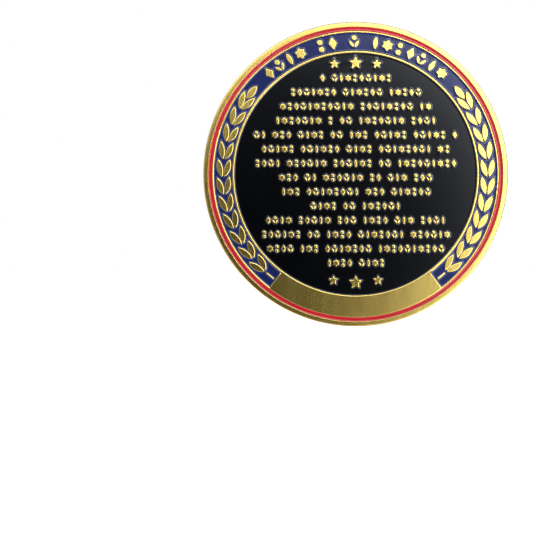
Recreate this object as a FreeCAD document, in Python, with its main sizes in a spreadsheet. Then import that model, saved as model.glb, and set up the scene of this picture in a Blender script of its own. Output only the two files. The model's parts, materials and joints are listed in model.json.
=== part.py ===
import FreeCAD, Part
import math
import os
import Sketcher

from FreeCAD import Placement, Rotation, Vector

# A struck and enamelled challenge coin, in millimetres.
# Each face's artwork is drawn in the XY plane, seen from +Z, with its top towards +Y.
# FRONT, the inscription face, lies at +Z and BACK, the scene face, at -Z. At the end every
# piece is stood upright, so the front face looks along -Y and the artwork's top is +Z.
FRONT = 1
BACK = -1
UPRIGHT = Placement(Vector(0, 0, 0), Rotation(Vector(1, 0, 0), 90))

DRIVING_SIZES = [
    ("coin_radius", 22.225, "outer radius of a 1.75 inch coin"),
    ("coin_thickness", 3.2, "over both rims"),
    ("edge_chamfer", 0.15, "outer corners of the rim"),
    ("rim_width", 0.715, "plain rim outside the red ring"),
    ("rim_step", 0.1, "rim top above the artwork's highest metal"),
    ("red_ring_width", 0.6, "channel for the red enamel"),
    ("ridge_width", 0.19, "metal line inside the red ring"),
    ("band_width", 2.7, "navy band"),
    ("inner_ring_width", 0.27, "metal line inside the navy band"),
    ("cell_depth", 0.35, "artwork's top to the floor of its cells"),
    ("enamel_drop", 0.14, "artwork's top to the enamel's surface"),
    ("insert_thickness", 0.08, "printed panel"),
    ("epoxy_drop", 0.04, "artwork's top to the clear epoxy"),
    ("plaque_half_angle", 37.2, "plain plaque at the foot of the front band, degrees"),
    ("line_width", 0.2, "metal lines between the ribbon's stripes"),
    ("outline_width", 0.2, "metal outline around each figure"),
]

doc = FreeCAD.newDocument("challenge_coin")
sizes = doc.addObject("Spreadsheet::Sheet", "sizes")
for row, (alias, value, meaning) in enumerate(DRIVING_SIZES, start=1):
    sizes.set(f"A{row}", str(value))
    sizes.setAlias(f"A{row}", alias)
    sizes.set(f"B{row}", meaning)
doc.recompute()

# Radii and heights that follow from the driving sizes, as expressions for the features.
RED_OUTER = "sizes.coin_radius - sizes.rim_width"
RED_INNER = f"{RED_OUTER} - sizes.red_ring_width"
BAND_OUTER = f"{RED_INNER} - sizes.ridge_width"
BAND_INNER = f"{BAND_OUTER} - sizes.band_width"
RIM_TOP = "sizes.coin_thickness / 2"
RELIEF_TOP = f"{RIM_TOP} - sizes.rim_step"
CELL_FLOOR = f"{RELIEF_TOP} - sizes.cell_depth"
ENAMEL_DEPTH = "sizes.cell_depth - sizes.enamel_drop"

# The same values as numbers, for the shapes that Part's own functions make.
red_outer = sizes.coin_radius - sizes.rim_width
red_inner = red_outer - sizes.red_ring_width
band_outer = red_inner - sizes.ridge_width
band_inner = band_outer - sizes.band_width
field_radius = band_inner - sizes.inner_ring_width
band_middle = (band_outer + band_inner) / 2
BEYOND = 25.0  # half width of a drawing area that is larger than the coin
SMALLEST_CELL = 0.4  # square millimetres; less than this takes no enamel

pieces = []


def finished(obj, label):
    """Names a finished piece and stands it upright."""
    obj.Label = label
    obj.Placement = UPRIGHT.multiply(obj.Placement)
    pieces.append(obj)
    return obj


def face_turn(face):
    """The rotation that carries artwork drawn for +Z to its own face of the coin."""
    return Rotation(Vector(0, 1, 0), 0 if face == FRONT else 180)


# ---------------------------------------------------------------- outlines in the XY plane

def polar(radius, degrees):
    angle = math.radians(degrees)
    return Vector(radius * math.cos(angle), radius * math.sin(angle), 0)


def polygon_face(points):
    return Part.Face(Part.makePolygon(points + [points[0]]))


def disc(radius):
    return Part.Face(Part.Wire(Part.makeCircle(radius)))


def annulus(inner, outer):
    return disc(outer).cut(disc(inner))


def sector(inner, outer, start, end):
    """Part of an annulus, from start to end degrees, counted anticlockwise."""
    middle = (start + end) / 2
    arcs = [
        Part.Arc(polar(radius, start), polar(radius, middle), polar(radius, end)).toShape()
        for radius in (inner, outer)
    ]
    ends = [
        Part.LineSegment(polar(inner, angle), polar(outer, angle)).toShape()
        for angle in (start, end)
    ]
    return Part.Face(Part.Wire(Part.__sortEdges__(arcs + ends)))


def smooth_line(heights, shift=0.0):
    """A smooth line through (x, y) points, raised by shift."""
    curve = Part.BSplineCurve()
    curve.interpolate([Vector(x, y + shift, 0) for x, y in heights])
    return curve.toShape()


def region_between(upper, lower):
    """The area between two smooth lines that start and end at the same x."""
    sides = [
        Part.LineSegment(upper.Vertexes[end].Point, lower.Vertexes[end].Point).toShape()
        for end in (0, -1)
    ]
    return Part.Face(Part.Wire(Part.__sortEdges__([upper, lower] + sides)))


def level_line(height):
    return Part.LineSegment(Vector(-21, height, 0), Vector(21, height, 0)).toShape()


def region_above(line):
    return region_between(level_line(BEYOND), line)


def region_below(line):
    return region_between(line, level_line(-BEYOND))


def limb(start, start_radius, end, end_radius, grow):
    """A round-ended tapering limb from start to end, thickened by grow."""
    first = Vector(*start, 0)
    second = Vector(*end, 0)
    first_radius = start_radius + grow
    second_radius = end_radius + grow
    along = second - first
    heading = math.atan2(along.y, along.x)
    lean = math.acos((first_radius - second_radius) / along.Length)
    corners = [
        centre + Vector(math.cos(heading + turn), math.sin(heading + turn), 0) * radius
        for centre, radius, turn in (
            (first, first_radius, lean),
            (first, first_radius, -lean),
            (second, second_radius, -lean),
            (second, second_radius, lean),
        )
    ]
    back = first - along.normalize() * first_radius
    tip = second + along * second_radius
    edges = [
        Part.Arc(corners[0], back, corners[1]).toShape(),
        Part.LineSegment(corners[1], corners[2]).toShape(),
        Part.Arc(corners[2], tip, corners[3]).toShape(),
        Part.LineSegment(corners[3], corners[0]).toShape(),
    ]
    return Part.Face(Part.Wire(edges))


def figure(limbs, grow=0.0):
    """A silhouette joined from its limbs."""
    shapes = [limb(*each, grow) for each in limbs]
    return shapes[0].multiFuse(shapes[1:]).removeSplitter()


# ---------------------------------------------------------------- raised artwork

def placed(points, centre, degrees=0.0, scale=1.0):
    """Turns, scales and moves an outline."""
    turn = Rotation(Vector(0, 0, 1), degrees)
    return [centre + turn.multVec(point * scale) for point in points]


def ring_of_points(radii, count, first_angle=90.0):
    """Points on a circle whose radius steps through radii in turn."""
    return [
        polar(radii[i % len(radii)], first_angle + 360.0 * i / count)
        for i in range(count)
    ]


def star_outline(radius):
    return ring_of_points((radius, radius * 0.46), 10)


def bulge(length, rise, steps):
    """Points of an arc from (0, -length/2) towards (0, length/2), bowed to +X by rise."""
    radius = (length ** 2 / 4 + rise ** 2) / (2 * rise)
    half_angle = math.asin(length / 2 / radius)
    angles = [half_angle * (2 * i / steps - 1) for i in range(steps)]
    return [Vector(radius * (math.cos(a) - 1) + rise, radius * math.sin(a), 0) for a in angles]


def leaf_outline(length, right_rise, left_rise, steps=10):
    """A pointed leaf along +Y, fuller on one side than on the other."""
    left = [Vector(-point.x, -point.y, 0) for point in bulge(length, left_rise, steps)]
    return bulge(length, right_rise, steps) + left


# Ornaments stand one unit tall. Each is a list of outlines.
def lozenge():
    return [ring_of_points((0.5, 0.32), 4)]


def upright_leaf():
    return [leaf_outline(1.0, 0.19, 0.19, 5)]


def bead_pair():
    bead = ring_of_points((0.22,), 8, 22.5)
    return [placed(bead, Vector(0, y, 0)) for y in (-0.28, 0.28)]


def sprig():
    """A bead above two leaves that spread from the foot."""
    bead = placed(ring_of_points((0.2,), 8, 22.5), Vector(0, 0.3, 0))
    leaf = leaf_outline(0.66, 0.12, 0.12, 4)
    leaves = [placed(leaf, Vector(side * 0.2, -0.17, 0), -side * 32) for side in (-1, 1)]
    return [bead] + leaves


def rosette():
    return [ring_of_points((0.45, 0.31), 12)]


ORNAMENTS = [lozenge(), upright_leaf(), bead_pair(), sprig(), rosette()]
GROUP_GAP = 0.75  # space between groups of ornaments, in steps


def ornament_run(groups):
    """Steps from the run's middle, and which ornament stands there, for a run of groups."""
    length = sum(groups) - 1 + GROUP_GAP * (len(groups) - 1)
    place = -length / 2
    run = []
    for group in groups:
        for _ in range(group):
            run.append((place, len(run)))
            place += 1
        place += GROUP_GAP
    return run


def ornament_row(groups, height, centre_y, step, first):
    """The outlines of a straight row of ornaments."""
    outlines = []
    for place, number in ornament_run(groups):
        centre = Vector(place * step, centre_y, 0)
        for outline in ORNAMENTS[(number * 3 + first) % len(ORNAMENTS)]:
            outlines.append(placed(outline, centre, 0, height))
    return outlines


def ornament_arc(groups, height, radius, middle, step, first):
    """Ornaments on an arc, read clockwise over the top or anticlockwise along the foot."""
    along = -1 if middle < 180 else 1
    outlines = []
    for place, number in ornament_run(groups):
        angle = middle + along * place * step
        centre = polar(radius, angle)
        for outline in ORNAMENTS[(number * 3 + first) % len(ORNAMENTS)]:
            outlines.append(placed(outline, centre, angle - 90, height))
    return outlines


def star(radius, centre, degrees=0.0):
    return placed(star_outline(radius), centre, degrees)


# ---------------------------------------------------------------- cells

def around(area, artwork):
    """An area's faces, each with the artwork inside it left standing as holes."""
    wires = [Part.makePolygon(points + [points[0]]) for points in artwork]
    faces = []
    for face in area.Faces:
        if face.Area < SMALLEST_CELL:
            continue
        inside = [wire for wire in wires if face.isInside(wire.CenterOfMass, 1e-6, True)]
        faces.append(Part.makeFace(face.Wires + inside, "Part::FaceMakerBullseye"))
    return Part.makeCompound(faces)


def outline(name, face, shape, floor=CELL_FLOOR):
    """A flat outline of a cell, lying on its floor."""
    drawing = doc.addObject("Part::Feature", name)
    drawing.Shape = shape
    drawing.Placement = Placement(Vector(0, 0, 0), face_turn(face))
    drawing.setExpression("Placement.Base.z", f"{face} * ({floor})")
    return drawing


def raise_outline(name, drawing, face, height):
    """A block standing on an outline, outwards from its face."""
    block = doc.addObject("Part::Extrusion", name)
    block.Base = drawing
    block.DirMode = "Custom"
    block.Dir = Vector(0, 0, face)
    block.Solid = True
    block.setExpression("LengthFwd", height)
    return block


recesses = []


def cell(name, face, area, artwork=()):
    """A recess in the struck body and the enamel that fills it, around its raised artwork."""
    drawing = outline(name + "_outline", face, around(area, artwork))
    recesses.append(raise_outline(name + "_recess", drawing, face, "sizes.cell_depth + sizes.rim_step"))
    return finished(raise_outline(name + "_filling", drawing, face, ENAMEL_DEPTH), name)


# ---------------------------------------------------------------- planchet

def origin_plane(body, role):
    return next(item for item in body.Origin.OriginFeatures if item.Role == role)


def circles_sketch(body, name, height, *radii):
    """A sketch of circles about the coin's axis, at a height along it."""
    sketch = body.newObject("Sketcher::SketchObject", name)
    sketch.AttachmentSupport = [(origin_plane(body, "XY_Plane"), "")]
    sketch.MapMode = "FlatFace"
    sketch.setExpression("AttachmentOffset.Base.z", height)
    for index, radius in enumerate(radii):
        sketch.addGeometry(Part.Circle(Vector(0, 0, 0), Vector(0, 0, 1), 20 - index), False)
        sketch.addConstraint(Sketcher.Constraint("Coincident", index, 3, -1, 1))
        rule = sketch.addConstraint(Sketcher.Constraint("Radius", index, 20 - index))
        sketch.setExpression(f"Constraints[{rule}]", radius)
    return sketch


def pocket(body, name, face, depth, *radii):
    """Cuts circles from one face of the planchet and returns the pocket."""
    before = body.Tip.Shape.Volume
    cut = body.newObject("PartDesign::Pocket", name)
    cut.Profile = circles_sketch(body, name + "_sketch", f"{face} * ({RIM_TOP})", *radii)
    cut.Reversed = face == BACK
    cut.setExpression("Length", depth)
    body.Tip = cut
    doc.recompute()
    if cut.Shape.Volume > before - 1:
        raise RuntimeError(f"{name} cuts nothing")
    return cut


planchet = doc.addObject("PartDesign::Body", "planchet")
disc_pad = planchet.newObject("PartDesign::Pad", "disc_pad")
disc_pad.Profile = circles_sketch(planchet, "disc_sketch", "0 mm", "sizes.coin_radius")
disc_pad.Midplane = True
disc_pad.setExpression("Length", "sizes.coin_thickness")
planchet.Tip = disc_pad
doc.recompute()
for face, side in ((FRONT, "front"), (BACK, "back")):
    pocket(planchet, side + "_step", face, "sizes.rim_step", RED_OUTER)
    pocket(planchet, side + "_red_channel", face, "sizes.rim_step + sizes.cell_depth",
           RED_OUTER, RED_INNER)
corner_names = [
    f"Edge{index}"
    for index, edge in enumerate(planchet.Shape.Edges, start=1)
    if isinstance(edge.Curve, Part.Circle) and abs(edge.Curve.Radius - sizes.coin_radius) < 1e-6
]
last_pocket = planchet.Tip
corners = planchet.newObject("PartDesign::Chamfer", "rim_corners")
corners.Base = (last_pocket, corner_names)
corners.setExpression("Size", "sizes.edge_chamfer")
planchet.Tip = corners
doc.recompute()


# ---------------------------------------------------------------- red rings

def red_ring(label, face):
    body = doc.addObject("PartDesign::Body", label + "_body")
    pad = body.newObject("PartDesign::Pad", label + "_pad")
    pad.Profile = circles_sketch(body, label + "_sketch", f"{face} * ({CELL_FLOOR})", RED_OUTER, RED_INNER)
    pad.Reversed = face == BACK
    pad.setExpression("Length", ENAMEL_DEPTH)
    body.Tip = pad
    doc.recompute()
    return finished(body, label)


red_ring("front_red_ring_enamel", FRONT)
red_ring("back_red_ring_enamel", BACK)


# ---------------------------------------------------------------- front face artwork

PAIRS_OF_LEAVES = 11
FIRST_PAIR = 223.2      # angle of the lowest pair on the left branch
PAIR_STEP = 7.64
LEAF_LENGTH = 2.7
LEAF_FULL_SIDE = 0.5
LEAF_FLAT_SIDE = 0.38
LEAF_SPLAY = 16.0
LEAF_OFFSET = 0.5       # leaf's middle from the branch's centre line
BRANCH_RADIUS = 19.3


def branch():
    """The left laurel branch: pairs of leaves, a leaf at the tip and a short stem."""
    leaves = {
        1: leaf_outline(LEAF_LENGTH, LEAF_FLAT_SIDE, LEAF_FULL_SIDE),
        -1: leaf_outline(LEAF_LENGTH, LEAF_FULL_SIDE, LEAF_FLAT_SIDE),
    }
    tip_leaf = leaf_outline(LEAF_LENGTH * 0.9, LEAF_FULL_SIDE, LEAF_FULL_SIDE)
    outlines = []
    for pair in range(PAIRS_OF_LEAVES):
        angle = FIRST_PAIR - PAIR_STEP * pair
        for side in (1, -1):
            centre = polar(BRANCH_RADIUS + side * LEAF_OFFSET, angle)
            outlines.append(placed(leaves[side], centre, angle + 180 + side * LEAF_SPLAY))
    tip_angle = FIRST_PAIR - PAIR_STEP * (PAIRS_OF_LEAVES - 0.35)
    outlines.append(placed(tip_leaf, polar(BRANCH_RADIUS, tip_angle), tip_angle + 180))
    stem_angle = FIRST_PAIR + PAIR_STEP * 0.88
    stem = [Vector(x, y, 0) for x, y in ((0.1, -0.7), (0.1, 0.7), (-0.1, 0.7), (-0.1, -0.7))]
    outlines.append(placed(stem, polar(BRANCH_RADIUS + 0.1, stem_angle), stem_angle + 180))
    return outlines


def mirrored(points):
    """The outline on the other side of the Y axis, still anticlockwise."""
    return [Vector(-point.x, point.y, 0) for point in reversed(points)]


left_branch = branch()
laurels = left_branch + [mirrored(points) for points in left_branch]
front_title = ornament_arc((4, 2, 1, 7), 1.9, band_middle, 90, 5.3, 0)

ROW_TOP = 14.04
ROW_STEP = 2.077
ROW_HEIGHT = 1.12
ORNAMENT_STEP = 0.99
FRONT_ROWS = [
    (1, 9), (7, 6, 5), (11, 8, 2), (7, 1, 2, 7, 4), (2, 3, 4, 2, 3, 5, 5, 1), (5, 6, 4, 8, 2),
    (4, 6, 6, 2, 9), (3, 2, 6, 2, 3, 3), (3, 8, 3, 6), (4, 2, 6), (4, 5, 3, 4, 3, 4),
    (6, 2, 4, 7, 6), (4, 3, 7, 10), (4, 4),
]
front_rows = []
for index, groups in enumerate(FRONT_ROWS):
    front_rows += ornament_row(groups, ROW_HEIGHT, ROW_TOP - ROW_STEP * index, ORNAMENT_STEP, index * 2)

BIG_STAR = 1.02
SMALL_STAR = 0.75
front_stars = [
    star(BIG_STAR, Vector(0, 16.25, 0)),
    star(SMALL_STAR, Vector(-3.1, 16.1, 0)),
    star(SMALL_STAR, Vector(3.1, 16.1, 0)),
    star(BIG_STAR, Vector(0, -15.8, 0)),
    star(SMALL_STAR, Vector(-3.25, -15.5, 0)),
    star(SMALL_STAR, Vector(3.25, -15.5, 0)),
]

plaque_end = 270 + sizes.plaque_half_angle
cell("front_navy_band_enamel", FRONT,
     sector(band_inner, band_outer, plaque_end, plaque_end + 360 - 2 * sizes.plaque_half_angle),
     laurels + front_title)
cell("front_black_field_enamel", FRONT, disc(field_radius), front_rows + front_stars)


# ---------------------------------------------------------------- back face artwork

# The ribbon's five metal lines, top to bottom, each by its height at five places across.
LINE_PLACES = (-21, -11, 0, 11, 21)
RIBBON_LINES = [
    (0.5, -3.0, -4.55, -2.9, 0.75),
    (-1.8, -4.45, -6.25, -4.05, -0.2),
    (-3.8, -6.35, -7.45, -5.1, -0.75),
    (-5.8, -7.8, -8.75, -6.15, -1.45),
    (-7.6, -9.55, -10.15, -7.55, -2.4),
]
GROUND = [
    (-21, 0.85), (-14, 0.5), (-10.4, 0.48), (-8.8, 0.95), (-7.6, 1.0), (-6.4, 1.5), (-5.2, 1.65),
    (-3.8, 1.4), (-2.1, 1.3), (0.4, 0.78), (1.9, 0.92), (3.4, 0.74), (5.4, 1.02), (7.9, 0.96),
    (9.8, 0.72), (12.6, 0.5), (17.5, 0.2), (21, 1.6),
]
LEFT_FIGURE = [
    ((-16.0, 10.0), 0.95, (-15.65, 10.6), 0.5),     # helmet and its peak
    ((-16.0, 9.3), 0.6, (-16.4, 7.9), 1.1),         # neck
    ((-16.9, 7.3), 1.25, (-16.3, 4.7), 1.35),       # trunk
    ((-17.4, 6.9), 0.95, (-17.35, 5.3), 0.85),      # pack
    ((-15.6, 7.3), 0.8, (-14.8, 5.2), 0.6),         # upper arm
    ((-14.9, 5.2), 0.5, (-14.3, 4.2), 0.35),        # forearm
    ((-15.1, 5.3), 0.3, (-12.9, 1.7), 0.14),        # rifle
    ((-14.2, 4.0), 0.2, (-14.6, 3.3), 0.16),        # magazine
    ((-16.9, 4.5), 0.85, (-17.0, 0.2), 0.5),        # rear leg
    ((-15.9, 4.5), 1.0, (-14.9, 0.2), 0.6),         # front leg
]
RIGHT_FIGURE = [
    ((14.1, 12.4), 1.5, (14.3, 10.6), 1.15),        # helmet and neck
    ((12.3, 9.0), 1.25, (16.4, 9.0), 1.2),          # shoulders
    ((14.2, 8.4), 2.3, (14.3, 4.2), 2.1),           # back
    ((14.3, 4.4), 2.1, (14.6, -2.5), 1.9),          # hips
    ((12.1, 8.9), 1.3, (11.6, 5.4), 0.95),          # left upper arm
    ((11.6, 5.4), 0.95, (12.0, 3.3), 0.9),          # left forearm
    ((16.5, 8.9), 1.2, (17.2, 6.0), 0.85),          # right upper arm
    ((17.2, 6.0), 0.85, (17.4, 3.9), 0.6),          # right forearm and hand
    ((17.4, 3.4), 0.28, (17.55, -0.5), 0.2),        # butt of the rifle
]


def ribbon_line(index, shift=0.0):
    return smooth_line(list(zip(LINE_PLACES, RIBBON_LINES[index])), shift)


half_line = sizes.line_width / 2
ground_line = smooth_line(GROUND)
above_ground = region_above(ground_line)
above_ribbon = region_above(ribbon_line(0, half_line))
below_ribbon = region_below(ribbon_line(4, -half_line))
left_outlined = figure(LEFT_FIGURE, sizes.outline_width)
right_outlined = figure(RIGHT_FIGURE, sizes.outline_width)
left_inside = figure(LEFT_FIGURE).common(above_ground)
right_inside = figure(RIGHT_FIGURE).common(above_ribbon)


def cleared(area):
    """An area above the ground with both outlined figures left out."""
    return area.common(above_ground).cut(left_outlined).cut(right_outlined)


def stripe(index):
    between = region_between(ribbon_line(index, -half_line), ribbon_line(index + 1, half_line))
    return between.common(disc(band_outer))


back_title = ornament_arc((5, 3, 3), 1.9, band_middle, 90, 6.0, 2)
outer_sky_row = ornament_arc((7, 3, 7), 1.4, 16.4, 102.2, 4.94, 1)
inner_sky_row = ornament_arc((10, 3, 8), 1.25, 14.6, 97.0, 4.58, 4)
sleeve_studs = [
    placed(ring_of_points((0.2,), 8, 22.5), Vector(12.2, 6.2, 0)),
    placed(ring_of_points((0.42, 0.12), 4), Vector(12.05, 3.96, 0), 6),
    placed(ring_of_points((0.16,), 8, 22.5), Vector(11.8, 3.0, 0)),
]

# The stars keep their width where the ribbon narrows, and are flattened to fit across it.
RIBBON_STARS = 15
STAR_STEP = 2.7
FIRST_STAR = -18.2
STAR_HALF_HEIGHT = 0.6
STAR_HALF_WIDTH = 0.48
STAR_SHARE = 0.4        # of the clear width of the stripe


def height_of(line, x):
    upright = Part.LineSegment(Vector(x, -BEYOND, 0), Vector(x, BEYOND, 0)).toShape()
    return line.distToShape(upright)[1][0][0].y


ribbon_stars = []
for number in range(RIBBON_STARS):
    x = FIRST_STAR + STAR_STEP * number
    high, low = [height_of(ribbon_line(line), x) for line in (0, 1)]
    slope = height_of(ribbon_line(0), x + 0.5) - height_of(ribbon_line(0), x - 0.5)
    clear_width = (high - low) * math.cos(math.atan(slope)) - sizes.line_width
    half_height = min(STAR_HALF_HEIGHT, clear_width * STAR_SHARE)
    half_width = max(half_height, STAR_HALF_WIDTH)
    flattened = [Vector(point.x * half_width, point.y * half_height, 0) for point in star_outline(1.0)]
    middle = Vector(x, (high + low) / 2, 0)
    ribbon_stars.append(placed(flattened, middle, math.degrees(math.atan(slope))))

lower_artwork = []
for middle, count in ((234.5, 7), (275.5, 4), (316.5, 7)):
    lower_artwork += ornament_arc((count,), 1.9, band_middle, middle, 5.7, count)
for angle in (211, 259.7, 293.9, 341):
    lower_artwork.append(star(1.08, polar(band_middle, angle), angle + 90))

cell("back_navy_upper_band_enamel", BACK, cleared(annulus(band_inner, band_outer)), back_title)
cell("back_black_sky_enamel", BACK, cleared(disc(field_radius)), outer_sky_row + inner_sky_row)
cell("left_figure_enamel", BACK, left_inside)
cell("right_figure_enamel", BACK, right_inside, sleeve_studs)
cell("ribbon_navy_enamel", BACK, stripe(0), ribbon_stars)
cell("ribbon_red_upper_enamel", BACK, stripe(1))
cell("ribbon_white_enamel", BACK, stripe(2))
cell("ribbon_red_lower_enamel", BACK, stripe(3))
cell("back_navy_lower_band_enamel", BACK, annulus(band_inner, band_outer).common(below_ribbon), lower_artwork)

panel = disc(field_radius).common(below_ribbon)
panel_outline = outline("panel_outline", BACK, panel)
recesses.append(raise_outline("panel_recess", panel_outline, BACK, "sizes.cell_depth + sizes.rim_step"))
finished(raise_outline("insert_sheet", panel_outline, BACK, "sizes.insert_thickness"), "printed_insert")
epoxy_outline = outline("epoxy_outline", BACK, panel, f"({CELL_FLOOR} + sizes.insert_thickness)")
finished(raise_outline("epoxy_layer", epoxy_outline, BACK,
                       "sizes.cell_depth - sizes.insert_thickness - sizes.epoxy_drop"), "clear_epoxy")


# ---------------------------------------------------------------- struck body

recess_tools = doc.addObject("Part::Compound", "recess_tools")
recess_tools.Links = recesses
struck = doc.addObject("Part::Cut", "struck")
struck.Base = planchet
struck.Tool = recess_tools
struck.Refine = False
finished(struck, "struck_body")

doc.recompute()

for obj in doc.Objects:
    if "Invalid" in obj.State or "Error" in obj.State:
        raise RuntimeError(f"{obj.Label} is {obj.State}")
for piece in pieces:
    if piece.Shape.isNull() or not piece.Shape.isValid() or not piece.Shape.Solids:
        raise RuntimeError(f"{piece.Label} has no valid solid")

os.makedirs("parts", exist_ok=True)
for piece in pieces:
    piece.Shape.exportStep(f"parts/{piece.Label}.step")
    print(piece.Label, len(piece.Shape.Solids), round(piece.Shape.Volume, 3))
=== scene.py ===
import json
import math
import random

import bmesh
import bpy
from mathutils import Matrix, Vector, geometry, kdtree
from mathutils.bvhtree import BVHTree


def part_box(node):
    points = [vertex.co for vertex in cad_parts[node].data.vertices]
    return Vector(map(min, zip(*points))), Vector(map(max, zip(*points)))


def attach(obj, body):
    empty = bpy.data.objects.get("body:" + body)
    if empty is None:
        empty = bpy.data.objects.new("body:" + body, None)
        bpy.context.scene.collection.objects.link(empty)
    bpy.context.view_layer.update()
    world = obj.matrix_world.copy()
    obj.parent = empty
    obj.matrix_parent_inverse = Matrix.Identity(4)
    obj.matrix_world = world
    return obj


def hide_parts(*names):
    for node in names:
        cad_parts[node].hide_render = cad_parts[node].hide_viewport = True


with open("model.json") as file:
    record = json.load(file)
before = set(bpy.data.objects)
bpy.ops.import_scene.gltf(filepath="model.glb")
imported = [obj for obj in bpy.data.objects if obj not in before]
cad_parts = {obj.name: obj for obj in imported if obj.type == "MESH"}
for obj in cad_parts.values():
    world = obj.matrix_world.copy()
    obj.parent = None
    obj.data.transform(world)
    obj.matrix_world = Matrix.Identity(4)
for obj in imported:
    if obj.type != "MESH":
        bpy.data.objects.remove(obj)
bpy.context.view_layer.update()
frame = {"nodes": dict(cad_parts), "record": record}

# The coin stands upright. Its artwork is drawn in (x, z), and each face's metal and enamel rise
# along the coin's axis: towards -Y on the front face and +Y on the back. Lengths are in
# millimetres, heights are measured outwards from the coin's middle, and MM turns them into metres.
# Only the stage, lights and camera of the last section are in metres.
MM = 0.001
FRONT = -1
BACK = 1

# ---------------------------------------------------------------- sizes read from the frame

def outward_range(node, side):
    """Lowest and highest level of a node, measured outwards on its own side."""
    low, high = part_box(node)
    return sorted((low.y * side / MM, high.y * side / MM))


body_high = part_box("struck_body")[1]
COIN_RADIUS = body_high.x / MM
RIM_TOP = body_high.y / MM
CELL_FLOOR = outward_range("front_black_field_enamel", FRONT)[0]
RED_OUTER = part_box("front_red_ring_enamel")[1].x / MM


# ---------------------------------------------------------------- flat regions of CAD nodes

WELD_DISTANCE = 0.0005
LEVEL_TOLERANCE = 0.003    # a face belongs to a level if its corners are this close to it
POINT_DIGITS = 4           # outline points that agree to this many digits are one point
SAMPLE_SPACING = 0.02      # between the points of an outline that distances are measured from

# An outline edge is divided as an arc around the coin's axis, instead of a straight line, when
# its ends are on one radius out in the bands and it is as long as the edges of those arcs.
ROUND_TOLERANCE = 0.002
ROUND_FROM = 15
ROUND_SHORTEST = 0.3
ROUND_LONGEST = 3

ROW_CLEARANCE = 0.93       # a row's points keep at least this share of its offset from the outline
ROW_CELL = 0.6             # a row has at most one point in a cell of this share of its offset
LEAST_NORMAL = 0.2         # below this a corner's two normals cancel, and it gets no inner point
LEAST_MITRE = 0.4          # keeps the inner point of a sharp corner near

# Output types of geometry.delaunay_2d_cdt, and how close together two of its points are one.
OUT_TO_HULL = 0
INSIDE_OUTLINE = 1
OUTLINE_EPSILON = 1e-7
PICTURE_EPSILON = 1e-6

SMOOTH_ANGLE = 40.0
METAL_SMOOTH_ANGLE = 35.0


def welded(node):
    """A node's mesh with its split vertices joined, in millimetres."""
    mesh = bmesh.new()
    mesh.from_mesh(frame["nodes"][node].data)
    bmesh.ops.scale(mesh, vec=(1 / MM, 1 / MM, 1 / MM), verts=mesh.verts)
    bmesh.ops.remove_doubles(mesh, verts=mesh.verts, dist=WELD_DISTANCE)
    return mesh


class Region:
    """The flat area of a node at one level: its edges in (x, z) and a test for what is inside."""

    def __init__(self, node, side, level, longest):
        self.side = side
        self.level = level
        mesh = welded(node)
        flat = [
            face for face in mesh.faces
            if all(abs(side * vert.co.y - level) < LEVEL_TOLERANCE for vert in face.verts)
        ]
        members = set(flat)
        triangles = [[(v.co.x, v.co.z, 0.0) for v in face.verts] for face in flat]
        corners = [corner for triangle in triangles for corner in triangle]
        faces = [(3 * i, 3 * i + 1, 3 * i + 2) for i in range(len(triangles))]
        self.tree = BVHTree.FromPolygons(corners, faces)
        self.points = []
        self.edges = []
        self.inward = []
        index = {}
        for face in flat:
            centre = face.calc_center_median()
            for edge in face.edges:
                if sum(other in members for other in edge.link_faces) == 1:
                    self.add_edge(edge, centre, longest, index)
        mesh.free()

    def point(self, x, z, index):
        """The number of an outline point, which is new unless index has it."""
        key = (round(x, POINT_DIGITS), round(z, POINT_DIGITS))
        if key not in index:
            index[key] = len(self.points)
            self.points.append((x, z))
        return index[key]

    def add_edge(self, edge, centre, longest, index):
        """Divides one outline edge, keeping round outlines round."""
        (ax, az), (bx, bz) = [(v.co.x, v.co.z) for v in edge.verts]
        length = math.hypot(bx - ax, bz - az)
        steps = max(1, math.ceil(length / longest))
        ra, rb = math.hypot(ax, az), math.hypot(bx, bz)
        on_one_radius = abs(ra - rb) < ROUND_TOLERANCE and ra > ROUND_FROM
        is_round = on_one_radius and ROUND_SHORTEST < length < ROUND_LONGEST
        turn = math.atan2(ax * bz - az * bx, ax * bx + az * bz)
        start = math.atan2(az, ax)
        last = self.point(ax, az, index)
        normal = Vector((-(bz - az), bx - ax)).normalized()
        if normal.dot(Vector((centre.x - ax, centre.z - az))) < 0:
            normal.negate()
        for step in range(1, steps + 1):
            t = step / steps
            if step == steps:
                x, z = bx, bz
            elif is_round:
                x, z = ra * math.cos(start + turn * t), ra * math.sin(start + turn * t)
            else:
                x, z = ax + (bx - ax) * t, az + (bz - az) * t
            here = self.point(x, z, index)
            self.edges.append((last, here))
            self.inward.append(normal)
            last = here

    def contains(self, x, z):
        return self.tree.ray_cast(Vector((x, z, 1.0)), Vector((0, 0, -1)))[0] is not None

    def distances(self):
        """A search tree of points along the outline, for distances from it."""
        samples = []
        for a, b in self.edges:
            (ax, az), (bx, bz) = self.points[a], self.points[b]
            steps = max(1, math.ceil(math.hypot(bx - ax, bz - az) / SAMPLE_SPACING))
            for step in range(steps):
                t = step / steps
                samples.append((ax + (bx - ax) * t, az + (bz - az) * t))
        tree = kdtree.KDTree(len(samples))
        for i, (x, z) in enumerate(samples):
            tree.insert((x, z, 0.0), i)
        tree.balance()
        return tree


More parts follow.
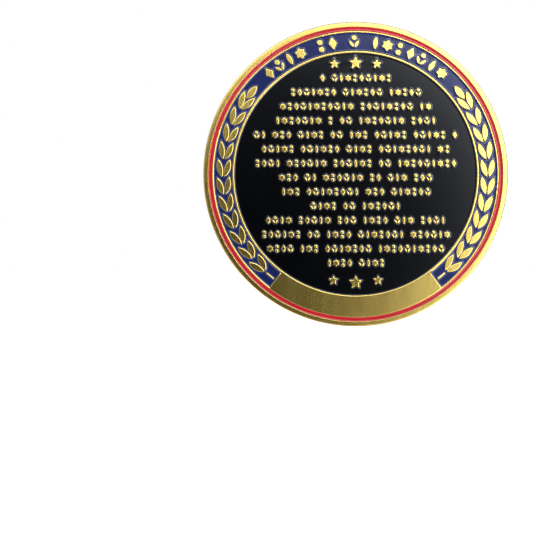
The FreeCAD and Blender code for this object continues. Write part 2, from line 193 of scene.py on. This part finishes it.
def inner_points(region, tree, offsets, infill):
    """Points inside a region: a row along its outline at each offset, then an even spread."""
    taken = set()
    points = []

    def offer(x, z, offset):
        cell = offset * ROW_CELL
        key = (round(x / cell), round(z / cell), offset)
        if key in taken:
            return
        distance = tree.find((x, z, 0.0))[2]
        if distance < offset * ROW_CLEARANCE or not region.contains(x, z):
            return
        taken.add(key)
        points.append((x, z))

    corner_normals = {}
    for (a, b), normal in zip(region.edges, region.inward):
        for end in (a, b):
            corner_normals[end] = corner_normals.get(end, Vector((0, 0))) + normal
    for offset in offsets:
        for corner, total in corner_normals.items():
            x, z = region.points[corner]
            length = total.length
            if length < LEAST_NORMAL:
                continue
            reach = offset / max(length / 2, LEAST_MITRE)
            offer(x + total.x / length * reach, z + total.y / length * reach, offset)

    xs = [x for x, _ in region.points]
    zs = [z for _, z in region.points]
    rows = int((max(zs) - min(zs)) / infill) + 1
    columns = int((max(xs) - min(xs)) / infill) + 1
    clear = offsets[-1] + infill * 0.5
    for row in range(rows):
        for column in range(columns):
            x = min(xs) + (column + 0.5 * (row % 2)) * infill
            z = min(zs) + row * infill
            if tree.find((x, z, 0.0))[2] > clear and region.contains(x, z):
                points.append((x, z))
    return points


def triangulated(points, edges, inward):
    """Triangles that fill an outline. Each outline edge's normal points to the filled side."""
    flat = [Vector(point) for point in points]
    _, _, faces, origins, _, _ = geometry.delaunay_2d_cdt(
        flat, edges, [], INSIDE_OUTLINE, OUTLINE_EPSILON,
    )
    if any(not origin for origin in origins):
        raise RuntimeError("the outline crosses itself")
    triangles = [tuple(origins[i][0] for i in face) for face in faces]
    sides = {}
    for number, triangle in enumerate(triangles):
        for i in range(3):
            pair = frozenset((triangle[i], triangle[i - 1]))
            sides.setdefault(pair, []).append(number)
    filled = {}
    for (start, end), normal in zip(edges, inward):
        for number in sides.get(frozenset((start, end)), ()):
            apex = next(i for i in triangles[number] if i not in (start, end))
            filled[number] = (flat[apex] - flat[start]).dot(normal) > 0
    outline = {frozenset(edge) for edge in edges}
    frontier = list(filled)
    while frontier:
        number = frontier.pop()
        triangle = triangles[number]
        for i in range(3):
            pair = frozenset((triangle[i], triangle[i - 1]))
            if pair in outline:
                continue
            for neighbour in sides[pair]:
                if neighbour not in filled:
                    filled[neighbour] = filled[number]
                    frontier.append(neighbour)
    return [triangle for number, triangle in enumerate(triangles) if filled[number]]


def open_edges(triangles):
    """Directed edges that only one triangle uses."""
    used = dict.fromkeys(
        pair for a, b, c in triangles for pair in ((a, b), (b, c), (c, a))
    )
    return [(a, b) for a, b in used if (b, a) not in used]


class Builder:
    """Collects vertices and faces of one piece, facing outwards on the front or the back."""

    def __init__(self):
        self.verts = []
        self.faces = []

    def vertex(self, x, z, height, side):
        self.verts.append((x * MM, side * height * MM, z * MM))
        return len(self.verts) - 1

    def face(self, corners, side, outward=True):
        """corners run anticlockwise in (x, z) as drawn, which faces -Y."""
        flip = (side == BACK) == outward
        self.faces.append(tuple(reversed(corners)) if flip else tuple(corners))

    def finish(self, name, material, smooth_angle=SMOOTH_ANGLE):
        mesh = bpy.data.meshes.new(name)
        mesh.from_pydata(self.verts, [], self.faces)
        mesh.validate()
        mesh.polygons.foreach_set("use_smooth", [True] * len(mesh.polygons))
        mesh.set_sharp_from_angle(angle=math.radians(smooth_angle))
        mesh.materials.append(material)
        piece = bpy.data.objects.new(name, mesh)
        bpy.context.scene.collection.objects.link(piece)
        return piece


def raised(build, region, floor, surface, offsets, infill):
    """Adds a region's top, whose height changes by surface(distance from the outline), and the
    walls below it. Returns the vertices at the foot of the walls."""
    tree = region.distances()
    points = region.points + inner_points(region, tree, offsets, infill)
    triangles = triangulated(points, region.edges, region.inward)
    top = []
    for number, (x, z) in enumerate(points):
        distance = 0.0 if number < len(region.points) else tree.find((x, z, 0.0))[2]
        top.append(build.vertex(x, z, region.level + surface(distance), region.side))
    foot = [build.vertex(x, z, floor, region.side) for x, z in region.points]
    for triangle in triangles:
        build.face([top[i] for i in triangle], region.side)
    for a, b in open_edges(triangles):
        build.face((top[b], top[a], foot[a], foot[b]), region.side)
    return foot


def stood(piece, node):
    """Puts a piece in a node's place."""
    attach(piece, "root")
    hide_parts(node)


# ---------------------------------------------------------------- node materials

ENAMEL_IOR = 1.53
EPOXY_IOR = 1.33           # low, because the epoxy's two faces share the reflection of one
RIPPLE_ROUGHENS = 1.4


def material(name):
    made = bpy.data.materials.new(name)
    made.use_nodes = True
    nodes = made.node_tree.nodes
    return made, nodes, made.node_tree.links, nodes["Principled BSDF"]


def noise(nodes, links, scale, detail, stretch=(1, 1, 1), roughness=0.5):
    """Noise in object space, in features per millimetre, stretched along an axis."""
    place = nodes.new("ShaderNodeTexCoord")
    mapping = nodes.new("ShaderNodeMapping")
    mapping.inputs["Scale"].default_value = [scale / MM * s for s in stretch]
    texture = nodes.new("ShaderNodeTexNoise")
    texture.inputs["Scale"].default_value = 1.0
    texture.inputs["Detail"].default_value = detail
    texture.inputs["Roughness"].default_value = roughness
    links.new(place.outputs["Object"], mapping.inputs["Vector"])
    links.new(mapping.outputs["Vector"], texture.inputs["Vector"])
    return texture.outputs["Fac"]


def ramp(nodes, links, value, first, last, span=(0.3, 0.7)):
    """Goes from the first colour to the last as value goes over its span."""
    made = nodes.new("ShaderNodeValToRGB")
    for element, position, colour in zip(made.color_ramp.elements, span, (first, last)):
        element.position = position
        element.color = (*colour, 1)
    links.new(value, made.inputs["Fac"])
    return made.outputs["Color"]


def add_bump(nodes, links, shader, value, strength, depth):
    """Bump whose depth is in millimetres."""
    bump = nodes.new("ShaderNodeBump")
    bump.inputs["Strength"].default_value = strength
    bump.inputs["Distance"].default_value = depth * MM
    links.new(value, bump.inputs["Height"])
    links.new(bump.outputs["Normal"], shader.inputs["Normal"])


def grey(value):
    return (value, value, value)


def gold_material():
    """Satin gold plate, finely brushed up and down."""
    made, nodes, links, shader = material("satin_gold")
    shader.inputs["Metallic"].default_value = 1.0
    brushing = noise(nodes, links, scale=9.0, detail=3.0, stretch=(1, 1, 0.05))
    patches = noise(nodes, links, scale=0.35, detail=3.0, stretch=(1, 1, 0.6))
    tint = ramp(nodes, links, patches, (0.86, 0.605, 0.145), (0.92, 0.665, 0.170))
    gloss = ramp(nodes, links, brushing, grey(0.16), grey(0.20))
    links.new(tint, shader.inputs["Base Color"])
    links.new(gloss, shader.inputs["Roughness"])
    add_bump(nodes, links, shader, brushing, strength=0.06, depth=0.004)
    return made


def enamel_material(name, thin, thick, roughness=0.06):
    """Glossy enamel whose colour drifts a little, with the faint ripple of a poured surface."""
    made, nodes, links, shader = material(name)
    shader.inputs["IOR"].default_value = ENAMEL_IOR
    drift = noise(nodes, links, scale=0.25, detail=3.0)
    ripple = noise(nodes, links, scale=0.8, detail=2.0)
    tint = ramp(nodes, links, drift, thick, thin)
    gloss = ramp(nodes, links, ripple, grey(roughness), grey(roughness * RIPPLE_ROUGHENS))
    links.new(tint, shader.inputs["Base Color"])
    links.new(gloss, shader.inputs["Roughness"])
    add_bump(nodes, links, shader, ripple, strength=0.3, depth=0.002)
    return made


def print_material(name, dark, light, scale, stretch=(1, 1, 1)):
    """Printed colour, uneven like a small picture of cloth or grass."""
    made, nodes, links, shader = material(name)
    tone = noise(nodes, links, scale, detail=4.0, stretch=stretch, roughness=0.6)
    tint = ramp(nodes, links, tone, dark, light, span=(0.34, 0.66))
    links.new(tint, shader.inputs["Base Color"])
    shader.inputs["Roughness"].default_value = 0.55
    shader.inputs["Specular IOR Level"].default_value = 0.0    # the epoxy wets it
    return made


def epoxy_material():
    """Clear resin with a slightly uneven gloss."""
    made, nodes, links, shader = material("clear_epoxy")
    shader.inputs["Transmission Weight"].default_value = 1.0
    shader.inputs["IOR"].default_value = EPOXY_IOR
    ripple = noise(nodes, links, scale=0.5, detail=1.0)
    gloss = ramp(nodes, links, ripple, grey(0.02), grey(0.05))
    links.new(gloss, shader.inputs["Roughness"])
    return made


GOLD = gold_material()
ENAMELS = {
    "red_enamel": enamel_material("red_enamel", (0.48, 0.010, 0.014), (0.40, 0.007, 0.010)),
    "navy_enamel": enamel_material("navy_enamel", (0.008, 0.014, 0.085), (0.006, 0.011, 0.065)),
    "black_enamel": enamel_material(
        "black_enamel", (0.0012, 0.0014, 0.0020), (0.0008, 0.0010, 0.0014), roughness=0.045,
    ),
    "white_enamel": enamel_material("white_enamel", (0.70, 0.69, 0.72), (0.64, 0.63, 0.67)),
}
PRINTS = [
    print_material("printed_grass", (0.05, 0.10, 0.008), (0.45, 0.50, 0.05), 3.0, (2, 1, 0.5)),
    print_material("printed_stick", (0.10, 0.06, 0.04), (0.30, 0.22, 0.15), 1.0),
    print_material("printed_red", (0.48, 0.0, 0.012), (0.92, 0.015, 0.04), 0.9),
    print_material("printed_white", (0.82, 0.60, 0.66), (1.0, 0.95, 0.96), 0.9),
    print_material("printed_blue", (0.003, 0.004, 0.03), (0.022, 0.028, 0.18), 0.9),
]
GRASS, STICK, RED, WHITE, BLUE = range(len(PRINTS))


# ---------------------------------------------------------------- enamel with a meniscus

MENISCUS_RISE = 0.055
MENISCUS_REACH = 0.22
MENISCUS_OFFSETS = (0.035, 0.075, 0.12, 0.17, 0.22, 0.27)
ENAMEL_STEP = 0.2          # the longest piece of outline
ENAMEL_INFILL = 0.9        # spacing of the points away from the outline


def meniscus(distance):
    """How far enamel climbs the wall of its cell. It is flat beyond its reach."""
    return MENISCUS_RISE * max(0.0, 1 - distance / MENISCUS_REACH) ** 2


def poured(node, side, material_used, surface, offsets):
    """A cell's filling: a top that follows surface(distance from the wall), walls and a base."""
    floor, top = outward_range(node, side)
    region = Region(node, side, top, ENAMEL_STEP)
    build = Builder()
    base = raised(build, region, floor, surface, offsets, ENAMEL_INFILL)
    for triangle in triangulated(region.points, region.edges, region.inward):
        build.face([base[i] for i in triangle], side, outward=False)
    return build.finish("poured_" + node, material_used)


SLOT_OF = {entry["node"]: entry["material_slot"] for entry in frame["record"]["subparts"]}
for node, slot in sorted(SLOT_OF.items()):
    if slot in ENAMELS:
        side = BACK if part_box(node)[0].y > 0 else FRONT
        stood(poured(node, side, ENAMELS[slot], meniscus, MENISCUS_OFFSETS), node)


# ---------------------------------------------------------------- struck metal

EDGE_ROUND = 0.055
FLAT_MARGIN = 0.03         # a row of points this far on, so that the flat metal is lit as flat
EDGE_OFFSETS = (0.02, EDGE_ROUND, EDGE_ROUND + FLAT_MARGIN)
METAL_STEP = 0.22
METAL_INFILL = 1.5
RIM_SEGMENTS = 360
RIM_ROUND = 0.16
RIM_INNER_ROUND = 0.05
RIM_CLEARANCE = 0.1        # vertices this far inside the rim belong to the relief
ARC_STEPS = 5


def worn_edge(distance):
    """How far a struck surface falls away towards its edge."""
    if distance >= EDGE_ROUND:
        return 0.0
    return math.sqrt(EDGE_ROUND ** 2 - (EDGE_ROUND - distance) ** 2) - EDGE_ROUND


def rim_profile():
    """Radius and height from the cell floor inside the rim, over its top and down to its edge."""
    points = [(RED_OUTER, CELL_FLOOR), (RED_OUTER, RIM_TOP - RIM_INNER_ROUND)]
    for step in range(1, ARC_STEPS + 1):
        angle = math.pi / 2 * step / ARC_STEPS
        points.append((
            RED_OUTER + RIM_INNER_ROUND * (1 - math.cos(angle)),
            RIM_TOP - RIM_INNER_ROUND * (1 - math.sin(angle)),
        ))
    points.append((RED_OUTER + RIM_INNER_ROUND + FLAT_MARGIN, RIM_TOP))
    points.append((COIN_RADIUS - RIM_ROUND - FLAT_MARGIN, RIM_TOP))
    for step in range(ARC_STEPS + 1):
        angle = math.pi / 2 * step / ARC_STEPS
        points.append((
            COIN_RADIUS - RIM_ROUND * (1 - math.sin(angle)),
            RIM_TOP - RIM_ROUND * (1 - math.cos(angle)),
        ))
    return points


def circle_points(radius):
    turn = 2 * math.pi / RIM_SEGMENTS
    return [(radius * math.cos(i * turn), radius * math.sin(i * turn)) for i in range(RIM_SEGMENTS)]


def struck_face(build, side, relief_top):
    """One face of the struck body. Returns the vertex ring at the top of the coin's edge."""
    region = Region("struck_body", side, relief_top, METAL_STEP)
    foot = raised(build, region, CELL_FLOOR, worn_edge, EDGE_OFFSETS, METAL_INFILL)

    rings = []
    for radius, height in rim_profile():
        rings.append([build.vertex(x, z, height, side) for x, z in circle_points(radius)])
    for low, high in zip(rings, rings[1:]):
        for i in range(RIM_SEGMENTS):
            after = (i + 1) % RIM_SEGMENTS
            build.face((low[i], high[i], high[after], low[after]), side)

    count = len(region.points)
    circle = circle_points(RED_OUTER)
    floor_edges = region.edges + [
        (count + i, count + (i + 1) % RIM_SEGMENTS) for i in range(RIM_SEGMENTS)
    ]
    floor_inward = [-normal for normal in region.inward]
    floor_inward += [-Vector(point).normalized() for point in circle]
    floor_vertices = foot + rings[0]
    for triangle in triangulated(region.points + circle, floor_edges, floor_inward):
        build.face([floor_vertices[i] for i in triangle], side)
    return rings[-1]


def struck_body():
    """Both faces, and the coin's edge between them."""
    relief_top = max(
        FRONT * vert.co.y / MM for vert in frame["nodes"]["struck_body"].data.vertices
        if math.hypot(vert.co.x, vert.co.z) / MM < RED_OUTER - RIM_CLEARANCE
    )
    build = Builder()
    front_ring = struck_face(build, FRONT, relief_top)
    back_ring = struck_face(build, BACK, relief_top)
    for i in range(RIM_SEGMENTS):
        after = (i + 1) % RIM_SEGMENTS
        build.faces.append((front_ring[i], back_ring[i], back_ring[after], front_ring[after]))
    return build.finish("struck_coin", GOLD, METAL_SMOOTH_ANGLE)


stood(struck_body(), "struck_body")


# ---------------------------------------------------------------- printed panel

PANEL_GAP = 0.004           # below the epoxy, so their faces don't lie in one plane
PANEL_STEP = 0.5
PICTURE_REACH = 18.2        # patches that lie wholly beyond this radius are left out

FLAG_SEED = 11
FLAG_ROWS = 11
FIELD_HALF_WIDTH = 18.0
NEAR_ROW = -18.9            # where the sticks of the nearest and the furthest flags stand
FAR_ROW = -5.2
ROW_CURVE = 1.1             # above 1, rows and heights change less among the furthest flags
NEAR_HEIGHT = 4.9
FAR_HEIGHT = 1.3
HEIGHT_CURVE = 2
LARGE_FLAG = 2.2            # flags higher than this have more stripes and columns

STICK_LEAST = 0.015         # half the stick's thickness is this and a share of the flag's height
STICK_SHARE = 0.012
STICK_TOP = 1.03            # where the stick ends, and how far the cloth hangs, as shares of it
CLOTH_DROP = 0.8
CLOTH_TOP = 0.08            # half the cloth's width at its top, as a share of the flag's width,
CLOTH_SPREAD = 0.42         # and what it gains on the way down
CLOTH_FLARE = 0.8           # below 1, it gains the most near its top
CLOTH_WAVE = 0.06           # height of the wave across the cloth, and how many radians it has
WAVE_TURN = 4
CANTON_ACROSS = 0.30        # the blue takes the whole cloth down to this share of its drop,
CANTON_BESIDE = 0.62        # and the left half of the cloth down to this one


def flag(draw, dice, foot_x, foot_z, height):
    """Adds one drooping striped flag on its stick to draw, a list of (outline, colour)."""
    width = height * dice.uniform(0.55, 0.72)
    lean = dice.uniform(-0.16, 0.16)
    shear = dice.uniform(-0.5, 0.5)
    sway = dice.uniform(-0.12, 0.12)
    phase = dice.uniform(0, 6)
    stripes, columns = (9, 4) if height > LARGE_FLAG else (7, 2)

    def place(u, v):
        """A point of the cloth: u goes across it, and v down from the top of the stick."""
        half = width * (CLOTH_TOP + CLOTH_SPREAD * v ** CLOTH_FLARE)
        x = (2 * u - 1) * half + sway * width * v * v
        slope = shear * (u - 0.5) - CLOTH_WAVE * math.sin(WAVE_TURN * u + phase)
        z = height * (1 - CLOTH_DROP * v) + v * width * slope
        return (foot_x + x + lean * z, foot_z + z)

    thin = STICK_SHARE * height + STICK_LEAST
    top = height * STICK_TOP
    draw.append(([
        (foot_x - thin, foot_z), (foot_x + thin, foot_z),
        (foot_x + thin + lean * top, foot_z + top), (foot_x - thin + lean * top, foot_z + top),
    ], STICK))
    for stripe in range(stripes):
        high, low = stripe / stripes, (stripe + 1) / stripes
        for column in range(columns):
            left, right = column / columns, (column + 1) / columns
            beside = low < CANTON_BESIDE and column < columns / 2
            stripe_colour = RED if stripe % 2 == 0 else WHITE
            colour = BLUE if low < CANTON_ACROSS or beside else stripe_colour
            outline = [place(left, low), place(right, low), place(right, high), place(left, high)]
            draw.append((outline, colour))


def field_of_flags():
    """Rows of flags, furthest first, so that nearer ones cover them."""
    dice = random.Random(FLAG_SEED)
    draw = []
    for row in range(FLAG_ROWS):
        nearness = row / (FLAG_ROWS - 1)
        height = FAR_HEIGHT + (NEAR_HEIGHT - FAR_HEIGHT) * nearness ** HEIGHT_CURVE
        foot = FAR_ROW + (NEAR_ROW - FAR_ROW) * nearness ** ROW_CURVE
        x = -FIELD_HALF_WIDTH + dice.uniform(0, 0.6)
        while x < FIELD_HALF_WIDTH:
            size = height * dice.uniform(0.85, 1.12)
            flag(draw, dice, x, foot + dice.uniform(-0.12, 0.12) * height, size)
            x += height * dice.uniform(0.40, 0.95)
    return draw


def picture_triangles(region):
    """Divides a region along the edges of the picture's patches. Returns points, triangles and
    the triangles' colours, each of which is the last drawn patch's, or grass."""
    # Seen from the back, the picture's right is towards -X.
    patches = [
        ([(-x, z) for x, z in reversed(outline)], colour)
        for outline, colour in field_of_flags()
        if any(math.hypot(x, z) < PICTURE_REACH for x, z in outline)
    ]
    points = [Vector(point) for point in region.points]
    faces = []
    for outline, _ in patches:
        faces.append(list(range(len(points), len(points) + len(outline))))
        points += [Vector(point) for point in outline]
    flat, _, triangles, _, _, covers = geometry.delaunay_2d_cdt(
        points, region.edges, faces, OUT_TO_HULL, PICTURE_EPSILON,
    )
    kept = []
    colours = []
    for triangle, covering in zip(triangles, covers):
        centre = sum((flat[i] for i in triangle), Vector((0, 0))) / 3
        if region.contains(centre.x, centre.y):
            kept.append(tuple(triangle))
            colours.append(patches[max(covering)][1] if covering else GRASS)
    return flat, kept, colours


def printed_panel():
    """The sheet under the epoxy: the picture, and plain white sides and base."""
    floor, top = outward_range("printed_insert", BACK)
    region = Region("printed_insert", BACK, top, PANEL_STEP)
    flat, triangles, colours = picture_triangles(region)
    build = Builder()
    used = {}
    for triangle in triangles:
        for i in triangle:
            if i not in used:
                used[i] = build.vertex(flat[i].x, flat[i].y, top - PANEL_GAP, BACK)
    for triangle in triangles:
        build.face([used[i] for i in triangle], BACK)

    border = open_edges(triangles)
    base = {i: build.vertex(flat[i].x, flat[i].y, floor, BACK) for edge in border for i in edge}
    for a, b in border:
        build.face((used[b], used[a], base[a], base[b]), BACK)

    numbers = {i: number for number, i in enumerate(base)}
    base_points = [tuple(flat[i]) for i in base]
    base_edges = [(numbers[a], numbers[b]) for a, b in border]
    inward = []
    for a, b in border:
        along = flat[b] - flat[a]
        inward.append(Vector((-along.y, along.x)).normalized())
    base_vertices = list(base.values())
    for triangle in triangulated(base_points, base_edges, inward):
        build.face([base_vertices[i] for i in triangle], BACK, outward=False)

    colours += [WHITE] * (len(build.faces) - len(colours))
    piece = build.finish("printed_picture", PRINTS[GRASS])
    for print_used in PRINTS[1:]:
        piece.data.materials.append(print_used)
    piece.data.polygons.foreach_set("material_index", colours)
    return piece


stood(printed_panel(), "printed_insert")


# ---------------------------------------------------------------- epoxy over the printed panel

DOME_RISE = 0.05
DOME_REACH = 1.4
DOME_CLING = 0.4           # how far it climbs the wall, as a share of enamel's meniscus
DOME_OFFSETS = MENISCUS_OFFSETS + (0.8, 1.4)


def dome(distance):
    """Epoxy clings to the wall and swells slightly towards the middle."""
    return meniscus(distance) * DOME_CLING + DOME_RISE * (1 - math.exp(-distance / DOME_REACH))


epoxy = poured("clear_epoxy", BACK, epoxy_material(), dome, DOME_OFFSETS)
stood(epoxy, "clear_epoxy")


# ---------------------------------------------------------------- stage, lights and camera

WHITE_LIGHT = (1, 1, 1, 1)
COOL_LIGHT = (0.95, 1.0, 1.10, 1)

FLOOR_SIZE = 4.0
FLOOR_ALBEDO = 0.8
FLOOR_ROUGHNESS = 0.9
FLOOR_GLOW = 0.86
SURROUND_RADIUS = 1.6
SOFTBOX_SIZE = 0.34
SOFTBOX_AWAY = 0.257

# A fade is (start, end, value at the start, value at the end). On a softbox it runs over metres of
# the box's own plane, where rightwards and upwards are as on the face of the coin that it lights.
# A dim point is (leftwards, upwards, 0) on that plane.
FRONT_DIM_AT = (0.010, -0.0075, 0.0)
FRONT_LEAST = 0.035
FRONT_STRENGTH = 0.060     # added to the least glow at FRONT_BASE from the dim point
FRONT_BASE = 0.030
FRONT_REACH = 0.012        # what is added grows e-fold in this distance
FRONT_CAP = 5.2
FRONT_CORNER_FADE = (-0.065, 0.020, 0.20, 1.0)
FRONT_LEFT_FADE = (-0.005, 0.020, 0.75, 1.0)

BACK_DIM_AT = (0.036, -0.020, 0.0)
BACK_NEAR_FADE = (0.016, 0.062, 0.05, 1.25)
BACK_OUTER_FADE = (0.072, 0.150, 0.0, 1.8)
WINDOW_SILL_FADE = (-0.001, 0.003, 0.0, 1.0)
WINDOW_EDGE_FADE = (0.036, 0.032, 0.0, 1.0)
WINDOW_LOSS_FADE = (-0.003, 0.001, 0.95, 0.62)

# The world's fades run over the direction's share along the coin's axis, or upwards.
AXIS_FADE = (0.93, 0.70, 0.03, 0.24)
SIDE_FADE = (0.60, 0.25, 1.0, 2.6)
BELOW_FADE = (0.0, -0.38, 1.0, 2.8)

FRAME_WIDTH = 0.07778      # what the camera sees across, at the coin
LENS = 120.0
SENSOR = 36.0
CLIP_START = 0.001
AIM_X = -0.01300           # left of the coin's middle and below it
AIM_Z = -0.01347


def plane(name, width, height, location, facing, material_used):
    """A rectangle whose normal points along facing."""
    mesh = bpy.data.meshes.new(name)
    w, h = width / 2, height / 2
    mesh.from_pydata([(-w, -h, 0), (w, -h, 0), (w, h, 0), (-w, h, 0)], [], [(0, 1, 2, 3)])
    mesh.materials.append(material_used)
    made = bpy.data.objects.new(name, mesh)
    made.location = location
    made.rotation_mode = "QUATERNION"
    made.rotation_quaternion = Vector(facing).to_track_quat("Z", "Y")
    bpy.context.scene.collection.objects.link(made)
    return made


def paper_material(name):
    """Matt white that glows a little, so that it stays pale away from the lights."""
    made, _, _, shader = material(name)
    shader.inputs["Base Color"].default_value = (*grey(FLOOR_ALBEDO), 1)
    shader.inputs["Roughness"].default_value = FLOOR_ROUGHNESS
    shader.inputs["Specular IOR Level"].default_value = 0.0
    shader.inputs["Emission Color"].default_value = WHITE_LIGHT
    shader.inputs["Emission Strength"].default_value = FLOOR_GLOW
    return made


def emission(name):
    made = bpy.data.materials.new(name)
    made.use_nodes = True
    nodes, links = made.node_tree.nodes, made.node_tree.links
    nodes.clear()
    glow = nodes.new("ShaderNodeEmission")
    out = nodes.new("ShaderNodeOutputMaterial")
    links.new(glow.outputs["Emission"], out.inputs["Surface"])
    return made, nodes, links, glow


def math_node(nodes, links, operation, *values):
    """A Math node whose inputs are numbers or other nodes' outputs."""
    made = nodes.new("ShaderNodeMath")
    made.operation = operation
    for socket, value in zip(made.inputs, values):
        if isinstance(value, (int, float)):
            socket.default_value = value
        else:
            links.new(value, socket)
    return made.outputs[0]


def faded(nodes, links, value, fade):
    """Goes smoothly between a fade's two values as value goes from its start to its end."""
    made = nodes.new("ShaderNodeMapRange")
    made.interpolation_type = "SMOOTHSTEP"
    for socket, number in zip(("From Min", "From Max", "To Min", "To Max"), fade):
        made.inputs[socket].default_value = number
    links.new(value, made.inputs["Value"])
    return made.outputs["Result"]


def distance_from(nodes, links, place, point):
    made = nodes.new("ShaderNodeVectorMath")
    made.operation = "DISTANCE"
    made.inputs[1].default_value = point
    links.new(place, made.inputs[0])
    return made.outputs["Value"]


def front_glow(nodes, links, place, rightwards, upwards):
    """Grows with the distance from a dim point, and is cut back to the left and lower left."""
    away = distance_from(nodes, links, place, FRONT_DIM_AT)
    growth = math_node(
        nodes, links, "MULTIPLY_ADD", away, 1 / FRONT_REACH, -FRONT_BASE / FRONT_REACH,
    )
    power = math_node(nodes, links, "EXPONENT", growth)
    scaled = math_node(nodes, links, "MULTIPLY_ADD", power, FRONT_STRENGTH, FRONT_LEAST)
    capped = math_node(nodes, links, "MINIMUM", scaled, FRONT_CAP)
    diagonal = math_node(nodes, links, "ADD", upwards, rightwards)
    corner = faded(nodes, links, diagonal, FRONT_CORNER_FADE)
    beside = faded(nodes, links, rightwards, FRONT_LEFT_FADE)
    cut_back = math_node(nodes, links, "MULTIPLY", corner, beside)
    return math_node(nodes, links, "MULTIPLY", capped, cut_back)


def back_glow(nodes, links, place, rightwards, upwards):
    """Dim at the lower left and bright beyond, with a dark window that the enamel sky mirrors."""
    away = distance_from(nodes, links, place, BACK_DIM_AT)
    middle = distance_from(nodes, links, place, (0, 0, 0))
    near = faded(nodes, links, away, BACK_NEAR_FADE)
    outer = faded(nodes, links, middle, BACK_OUTER_FADE)
    plain = math_node(nodes, links, "ADD", near, outer)
    above = faded(nodes, links, upwards, WINDOW_SILL_FADE)
    within = faded(nodes, links, middle, WINDOW_EDGE_FADE)
    window = math_node(nodes, links, "MULTIPLY", above, within)
    loss = faded(nodes, links, rightwards, WINDOW_LOSS_FADE)
    lost = math_node(nodes, links, "MULTIPLY", window, loss)
    left_over = math_node(nodes, links, "SUBTRACT", 1.0, lost)
    return math_node(nodes, links, "MULTIPLY", plain, left_over)


def softbox(name, side, glow_strength):
    """A light the camera doesn't see, whose glow varies over its plane."""
    made, nodes, links, glow = emission(name + "_glow")
    glow.inputs["Color"].default_value = COOL_LIGHT
    place = nodes.new("ShaderNodeTexCoord").outputs["Object"]
    split = nodes.new("ShaderNodeSeparateXYZ")
    links.new(place, split.inputs["Vector"])
    rightwards = math_node(nodes, links, "MULTIPLY", split.outputs["X"], -1.0)
    strength = glow_strength(nodes, links, place, rightwards, split.outputs["Y"])
    links.new(strength, glow.inputs["Strength"])
    away = (0, side * SOFTBOX_AWAY, 0)
    box = plane(name, SOFTBOX_SIZE, SOFTBOX_SIZE, away, (0, -side, 0), made)
    box.visible_camera = False


def studio_world():
    """Fill light from all around: dim along the coin's axis, bright at its sides and below."""
    world = bpy.data.worlds.new("studio")
    world.use_nodes = True
    nodes, links = world.node_tree.nodes, world.node_tree.links
    background = nodes["Background"]
    background.inputs["Color"].default_value = WHITE_LIGHT
    place = nodes.new("ShaderNodeTexCoord")
    split = nodes.new("ShaderNodeSeparateXYZ")
    links.new(place.outputs["Generated"], split.inputs["Vector"])
    along_axis = math_node(nodes, links, "ABSOLUTE", split.outputs["Y"])
    around = faded(nodes, links, along_axis, AXIS_FADE)
    beside = faded(nodes, links, along_axis, SIDE_FADE)
    below = faded(nodes, links, split.outputs["Z"], BELOW_FADE)
    most = math_node(nodes, links, "MAXIMUM", beside, below)
    strength = math_node(nodes, links, "MULTIPLY", around, most)
    links.new(strength, background.inputs["Strength"])
    return world


def white_surround():
    """A white ball around everything, which only the camera sees."""
    mesh = bpy.data.meshes.new("surround")
    ball = bmesh.new()
    bmesh.ops.create_uvsphere(ball, u_segments=48, v_segments=24, radius=SURROUND_RADIUS)
    ball.to_mesh(mesh)
    ball.free()
    mesh.materials.append(emission("white_surround")[0])
    surround = bpy.data.objects.new("surround", mesh)
    bpy.context.scene.collection.objects.link(surround)
    surround.visible_diffuse = False
    surround.visible_glossy = False
    surround.visible_transmission = False
    surround.visible_shadow = False


def front_camera():
    """Looks at the front face along the coin's axis, with the coin at the frame's upper right."""
    data = bpy.data.cameras.new("camera")
    data.lens = LENS
    data.sensor_width = SENSOR
    data.clip_start = CLIP_START
    camera = bpy.data.objects.new("camera", data)
    distance = FRAME_WIDTH * LENS / SENSOR
    camera.location = (AIM_X, -distance - RIM_TOP * MM, AIM_Z)
    camera.rotation_euler = (math.radians(90), 0, 0)
    bpy.context.scene.collection.objects.link(camera)
    return camera


scene = bpy.context.scene
scene.view_settings.view_transform = "Standard"
scene.world = studio_world()
scene.camera = front_camera()

paper = paper_material("pale_floor")
floor = plane("floor", FLOOR_SIZE, FLOOR_SIZE, (0, 0, -COIN_RADIUS * MM), (0, 0, 1), paper)
floor.visible_glossy = False
white_surround()
softbox("front_softbox", FRONT, front_glow)
softbox("back_softbox", BACK, back_glow)
